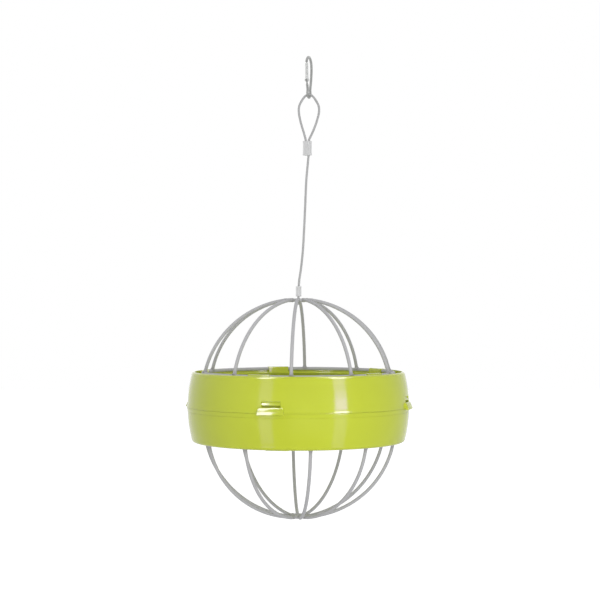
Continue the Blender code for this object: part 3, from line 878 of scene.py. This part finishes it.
def add_weld_attribute(mesh, spots, reach):
    """How much of a weld's heat mark each point carries, from 0 to 1."""
    attribute = mesh.attributes.new("weld", "FLOAT", "POINT")
    for i, vertex in enumerate(mesh.vertices):
        near = min((vertex.co - spot).length for spot in spots)
        attribute.data[i].value = 0.75 * exp(-((near / reach) ** 2))


def make_half_wire(name, side):
    """A bent wire, swollen a little at both ends where it is welded."""
    path = half_wire_path(side)
    total = lengths_along(path)[-1]

    def radius(distance):
        at_hoop = 0.00075 * exp(-((distance / 0.0009) ** 2))
        at_ring = 0.00035 * exp(-(((total - distance) / 0.0012) ** 2))
        return WIRE_RADIUS + at_hoop + at_ring

    bm = bmesh.new()
    add_tube(bm, path, radius, 14)
    mesh = finished(bm, name, 60.0)
    add_weld_attribute(mesh, (path[0], path[-1]), 0.0022)
    return mesh


def make_cage_half(name, side, azimuths, material):
    body = f"{name}_half"
    wire_mesh = make_half_wire(f"{name}_half_wire", side)
    hoop_radius, hoop_distance = hoop_place(side)
    welds = []
    for number, azimuth in enumerate(azimuths, start=1):
        turn = Matrix.Rotation(radians(azimuth), 4, "Z")
        mesh = wire_mesh.copy()
        mesh.transform(Matrix.Translation(BALL_CENTRE) @ turn)
        wire = new_object(f"{name}_cage_wire_{number}", mesh, material)
        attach(wire, body)
        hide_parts(f"{name}_wire_{number}")
        welds.append(turn @ Vector((0.0, -hoop_radius, side * (hoop_distance + WIRE_RADIUS))))
    bpy.data.meshes.remove(wire_mesh)

    bm = bmesh.new()
    add_revolved(bm, circle(hoop_radius, side * hoop_distance, WIRE_RADIUS), segments=240)
    mesh = finished(bm, f"{name}_ring_wire", 60.0)
    add_weld_attribute(mesh, welds, 0.0020)
    mesh.transform(Matrix.Translation(BALL_CENTRE))
    hoop = new_object(f"{name}_ring_wire", mesh, material)

    bm = bmesh.new()
    height = side * POLE_HEIGHT
    add_revolved(bm, circle(POLE_RING_RADIUS, height, WIRE_RADIUS, 20), segments=72)
    reach = POLE_RING_RADIUS - 0.0006
    bar = evenly([Vector((-reach, 0.0, height)), Vector((reach, 0.0, height))], 0.0003)
    total = lengths_along(bar)[-1]

    def bar_radius(distance):
        end = min(distance, total - distance)
        return POLE_BAR_RADIUS + 0.0005 * exp(-((end / 0.0008) ** 2))

    add_tube(bm, bar, bar_radius, 20)
    mesh = finished(bm, f"{name}_pole_eye", 60.0)
    spots = [Vector((side_x * reach, 0.0, height)) for side_x in (-1, 1)]
    add_weld_attribute(mesh, spots, 0.0020)
    mesh.transform(Matrix.Translation(BALL_CENTRE))
    ring = new_object(f"{name}_pole_eye", mesh, material)

    for piece, node in ((hoop, f"{name}_hoop"), (ring, f"{name}_pole_ring")):
        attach(piece, body)
        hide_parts(node)


# ---------------------------------------------------------------- waist band


def band_radius_at(height):
    shoulder = BAND_HEIGHT - BAND_RIM_ROUND
    return BAND_RADIUS - (BAND_RADIUS - BAND_SHOULDER_RADIUS) * (height / shoulder) ** 2


def arc(centre, radius, start, end, steps):
    """Points round part of a circle in a (radius, height) section; angles in degrees."""
    turns = [radians(start + (end - start) * step / steps) for step in range(steps + 1)]
    return [(centre[0] + radius * cos(a), centre[1] + radius * sin(a)) for a in turns]


def band_profile(seam_edge, window_top=None):
    """The section from the seam's outer edge, over the rim and back to its inner edge."""
    seam = SEAM_GAP / 2
    ledge_top = HOOP_HEIGHT - HOOP_ABOVE_LEDGE
    ledge_low = ledge_top - LEDGE_THICKNESS
    shoulder = BAND_HEIGHT - BAND_RIM_ROUND

    def wall(height):
        return band_radius_at(height) - BAND_WALL

    outline = [(BAND_RADIUS + out / 1000, seam + up / 1000) for out, up in seam_edge]
    heights = [shoulder * step / 15 for step in range(2, 15)]
    if window_top:
        heights = sorted(heights + [window_top])
    outline += [(band_radius_at(height), height) for height in heights]
    rim = (BAND_SHOULDER_RADIUS - BAND_RIM_ROUND, shoulder)
    outline += arc(rim, BAND_RIM_ROUND, 0, 90, 10)
    lip = 0.0002
    corner = (BAND_SHOULDER_RADIUS - BAND_WALL + lip, BAND_HEIGHT - lip)
    outline += arc(corner, lip, 90, 180, 3)[1:]
    fillet = 0.0008
    outline += arc((wall(ledge_top) - fillet, ledge_top + fillet), fillet, 0, -90, 4)
    edge = LEDGE_THICKNESS / 2
    outline += arc((LEDGE_INNER_RADIUS + edge, ledge_top - edge), edge, 90, 270, 6)
    outline += arc((wall(ledge_low) - fillet, ledge_low - fillet), fillet, 90, 0, 4)
    if window_top:
        outline.append((wall(window_top), window_top))
    outline.append((wall(seam), seam))
    return outline


def add_band(bm, side, window_top=None):
    """A revolved half band. Where it has windows, the wall stops above them."""
    outline = band_profile(UPPER_EDGE if side > 0 else LOWER_EDGE, window_top)
    above = [i for i, (_, z) in enumerate(outline) if window_top and z >= window_top - 1e-9]
    low_outer, low_inner = (above[0], above[-1]) if window_top else (0, 0)
    columns = []
    for index in range(TAB_COUNT):
        middle = TAB_START + 360.0 * index / TAB_COUNT
        inside = [middle + WINDOW_HALF_ANGLE * (2 * k / 6 - 1) for k in range(6)]
        columns += [(azimuth, bool(window_top)) for azimuth in inside]
        span = 360.0 / TAB_COUNT - 2 * WINDOW_HALF_ANGLE
        count = round(span / BAND_STEP)
        start = middle + WINDOW_HALF_ANGLE
        columns += [(start + span * k / count, False) for k in range(count)]
    rings = []
    for azimuth, _ in columns:
        angle = radians(azimuth)
        rings.append([(r * sin(angle), -r * cos(angle), side * z) for r, z in outline])
    made = {}

    def vertex(column, row):
        column %= len(columns)
        if (column, row) not in made:
            made[column, row] = bm.verts.new(rings[column][row])
        return made[column, row]

    rows = len(outline)
    for i, (_, open_strip) in enumerate(columns):
        was_open = columns[i - 1][1]
        for j in range(rows):
            k = (j + 1) % rows
            if open_strip and not (j in above and k in above):
                continue
            bm.faces.new((vertex(i, j), vertex(i + 1, j), vertex(i + 1, k), vertex(i, k)))
        if open_strip:
            corners = ((i, low_inner), (i + 1, low_inner), (i + 1, low_outer), (i, low_outer))
            bm.faces.new([vertex(*corner) for corner in corners])
        if open_strip != was_open:
            end = [*range(low_inner, rows), *range(low_outer + 1)]
            bm.faces.new([vertex(i, j) for j in end])


def add_clips(bm, side, clip_start):
    """Blocks that stand on the ledge and close over the hoop."""
    radius = hoop_place(side)[0]
    foot = HOOP_HEIGHT - HOOP_ABOVE_LEDGE - LEDGE_THICKNESS / 2
    section = [(radius - CLIP_INNER_OFFSET, foot), (radius + CLIP_OUTER_OFFSET, foot)]
    middle = radius + (CLIP_OUTER_OFFSET - CLIP_INNER_OFFSET) / 2
    for step in range(9):
        angle = radians(180 * step / 8)
        squared = abs(cos(angle)) ** 0.6 * (1 if cos(angle) > 0 else -1)
        rise = CLIP_RISE * max(sin(angle), 0.0) ** 0.6
        section.append((middle + CLIP_INNER_OFFSET * squared, HOOP_HEIGHT + rise))
    section = [(r, side * z) for r, z in section]
    for index in range(CLIP_COUNT):
        start = clip_start + 360.0 * index / CLIP_COUNT - CLIP_WIDTH / 2
        add_revolved(bm, section, start, CLIP_WIDTH, 8)


def add_curved_block(bm, outline, half_width, azimuth=0.0, columns=20):
    """A block that follows the band's curve: a section swept between slanting sides."""
    turn = Matrix.Rotation(radians(azimuth), 3, "Z")
    rings = []
    for column in range(columns + 1):
        part = 2 * column / columns - 1
        ring = []
        for radius, height in outline:
            across = part * half_width(height)
            depth = sqrt(radius**2 - across**2)
            ring.append(bm.verts.new(turn @ Vector((across, -depth, height))))
        rings.append(ring)
    skin(bm, rings)


def tab_half_width(height):
    return TAB_HALF_WIDTH - TAB_SIDE_SLOPE * height


def bridge_half_width(height):
    return BRIDGE_HALF_WIDTH - BRIDGE_SIDE_SLOPE * height


def make_band_half(name, side, clip_start, material):
    bm = bmesh.new()
    add_band(bm, side, WINDOW_TOP if side > 0 else None)
    add_clips(bm, side, clip_start)
    if side > 0:
        for index in range(TAB_COUNT):
            azimuth = TAB_START + 360.0 * index / TAB_COUNT
            add_curved_block(bm, BRIDGE_OUTLINE, bridge_half_width, azimuth)
    mesh = finished(bm, f"{name}_shell")
    mesh.transform(Matrix.Translation(BAND_CENTRE))
    shell = new_object(f"{name}_shell", mesh, material)
    round_edges(shell, 0.00016)
    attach(shell, f"{name}_half")
    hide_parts(f"{name}_band")


def make_snap_tabs(material):
    for index in range(TAB_COUNT):
        azimuth = TAB_START + 360.0 * index / TAB_COUNT
        bm = bmesh.new()
        add_curved_block(bm, TAB_OUTLINE, tab_half_width, azimuth)
        name = f"snap_tongue_{index + 1}"
        mesh = finished(bm, name, 30.0)
        mesh.transform(Matrix.Translation(BAND_CENTRE))
        tongue = new_object(name, mesh, material)
        round_edges(tongue, 0.0001)
        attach(tongue, f"snap_tab_{index + 1}")
        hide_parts(f"snap_tab_{index + 1}")


# ---------------------------------------------------------------- studio


def make_floor():
    """A plain white floor. It lights nothing, so that it stays even below the feeder."""
    n = Nodes("pale_floor")
    n.set(Roughness=0.9, Emission_Color=(1.0, 1.0, 1.0, 1.0), Emission_Strength=0.6)
    soft = n.noise(n.place(), 3.0, 2.0)
    n.to(n.ramp(soft, (0.3, (0.90, 0.90, 0.90)), (0.7, (0.92, 0.92, 0.92))), "Base Color")
    bm = bmesh.new()
    bmesh.ops.create_grid(bm, x_segments=8, y_segments=8, size=6.0)
    floor = new_object("floor", finished(bm, "floor"), n.material)
    floor.location.z = CAD_BOX[0].z - 0.25
    floor.visible_diffuse = False
    floor.visible_glossy = False


def make_world():
    """White behind the feeder, even for matt surfaces, and a soft gradient in glossy ones."""
    world = bpy.data.worlds.new("studio")
    bpy.context.scene.world = world
    world.use_nodes = True
    tree = world.node_tree
    background = tree.nodes["Background"]
    background.inputs["Color"].default_value = (1.0, 1.0, 1.0, 1.0)
    direction = tree.nodes.new("ShaderNodeTexCoord")
    weights = tree.nodes.new("ShaderNodeVectorMath")
    weights.operation = "DOT_PRODUCT"
    weights.inputs[1].default_value = WORLD_SLOPE
    tree.links.new(direction.outputs["Generated"], weights.inputs[0])
    level = tree.nodes.new("ShaderNodeMath")
    level.operation = "ADD"
    level.inputs[1].default_value = WORLD_LEVEL
    tree.links.new(weights.outputs["Value"], level.inputs[0])
    path = tree.nodes.new("ShaderNodeLightPath")
    strength = level.outputs[0]
    for kind, value in (("Is Diffuse Ray", WORLD_EVEN), ("Is Camera Ray", 1.0)):
        choose = tree.nodes.new("ShaderNodeMix")
        tree.links.new(path.outputs[kind], choose.inputs[0])
        tree.links.new(strength, choose.inputs[2])
        choose.inputs[3].default_value = value
        strength = choose.outputs[0]
    tree.links.new(strength, background.inputs["Strength"])


def add_light(name, azimuth, elevation, width, height, radiance):
    """A soft box that faces the ball from one metre away."""
    data = bpy.data.lights.new(name, "AREA")
    data.shape = "RECTANGLE"
    data.size = width
    data.size_y = height
    data.energy = radiance * pi * width * height
    light = bpy.data.objects.new(name, data)
    bpy.context.collection.objects.link(light)
    a, e = radians(azimuth), radians(elevation)
    way = Vector((sin(a) * cos(e), -cos(a) * cos(e), sin(e)))
    light.location = BALL_CENTRE + way
    light.rotation_euler = way.to_track_quat("Z", "Y").to_euler()
    return light


def make_lights():
    """One broad fill from the front, and strips that are mirrored only in the plastic."""
    fill = add_light("front_fill", *FRONT_FILL)
    fill.visible_glossy = False
    mirrors = bpy.data.collections.new("plastic_pieces")
    for piece in bpy.context.collection.objects:
        if piece.name.endswith("_shell") or piece.name.startswith("snap_tongue"):
            mirrors.objects.link(piece)
    tinted = [(strip, COLUMN_TINT) for strip in COLUMN_STRIPS]
    tinted += [(strip, LIP_TINT) for strip in LIP_STRIPS]
    for number, (strip, tint) in enumerate(tinted, start=1):
        light = add_light(f"strip_{number}", *strip)
        light.data.color = tint
        light.visible_diffuse = False
        light.light_linking.receiver_collection = mirrors


# ---------------------------------------------------------------- all of it


def main():
    scene = bpy.context.scene
    scene.view_settings.view_transform = "Standard"
    make_camera()
    rope, path, length = make_rope(rope_wire())
    sleeves = make_ferrules(pressed_aluminium())
    # The second, lighter zinc copy, for the gate and the rivet, is painted light: the same plate
    # made brighter where light falls on the gate's side.
    make_snap_hook(zinc_plate("zinc_plate", 0.44, 0.56), zinc_plate("zinc_plate_lit_copy", 0.80, 0.92))
    wire = drawn_wire()
    plastic = lime_plastic()
    make_cage_half("upper", 1, UPPER_WIRE_AZIMUTHS, wire)
    make_cage_half("lower", -1, LOWER_WIRE_AZIMUTHS, wire)
    make_band_half("upper", 1, UPPER_CLIP_START, plastic)
    make_band_half("lower", -1, LOWER_CLIP_START, plastic)
    make_snap_tabs(plastic)
    make_floor()
    make_world()
    make_lights()


main()
